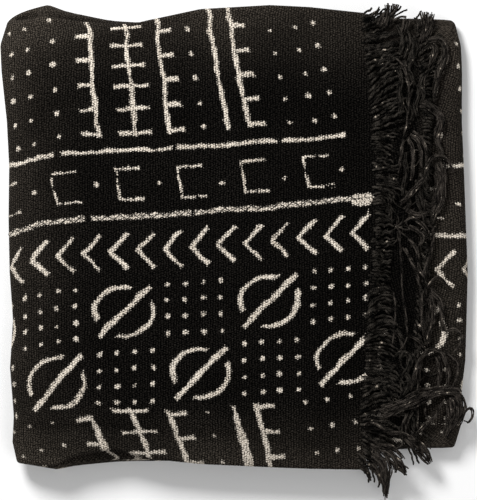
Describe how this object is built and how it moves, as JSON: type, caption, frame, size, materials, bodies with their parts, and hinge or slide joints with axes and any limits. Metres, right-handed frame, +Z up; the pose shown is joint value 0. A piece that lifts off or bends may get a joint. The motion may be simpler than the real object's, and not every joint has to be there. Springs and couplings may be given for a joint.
{
  "type": "folded mud cloth throw",
  "caption": "Black handwoven cotton throw with cream painted motifs and fringed ends, folded in thirds across and then in half twice into a flat square stack.",
  "frame": {"origin": "middle of the box round the folded throw, on the surface that it lies on", "axes": "+X from the thick left fold to the fringed side, +Y towards the back folded edge, +Z up"},
  "size_m": [0.403, 0.4196, 0.0366],
  "materials": {
    "cloth": "matt plain weave, black, with cream painted lines and dots",
    "fringe": "matt twisted cotton yarn"
  },
  "bodies": {
    "root": {"strip_1": "cloth", "strip_2": "cloth", "strip_3": "cloth", "strip_4": "cloth", "fringe_top_end": "fringe", "fringe_lower_end": "fringe"}
  },
  "joints": []
}
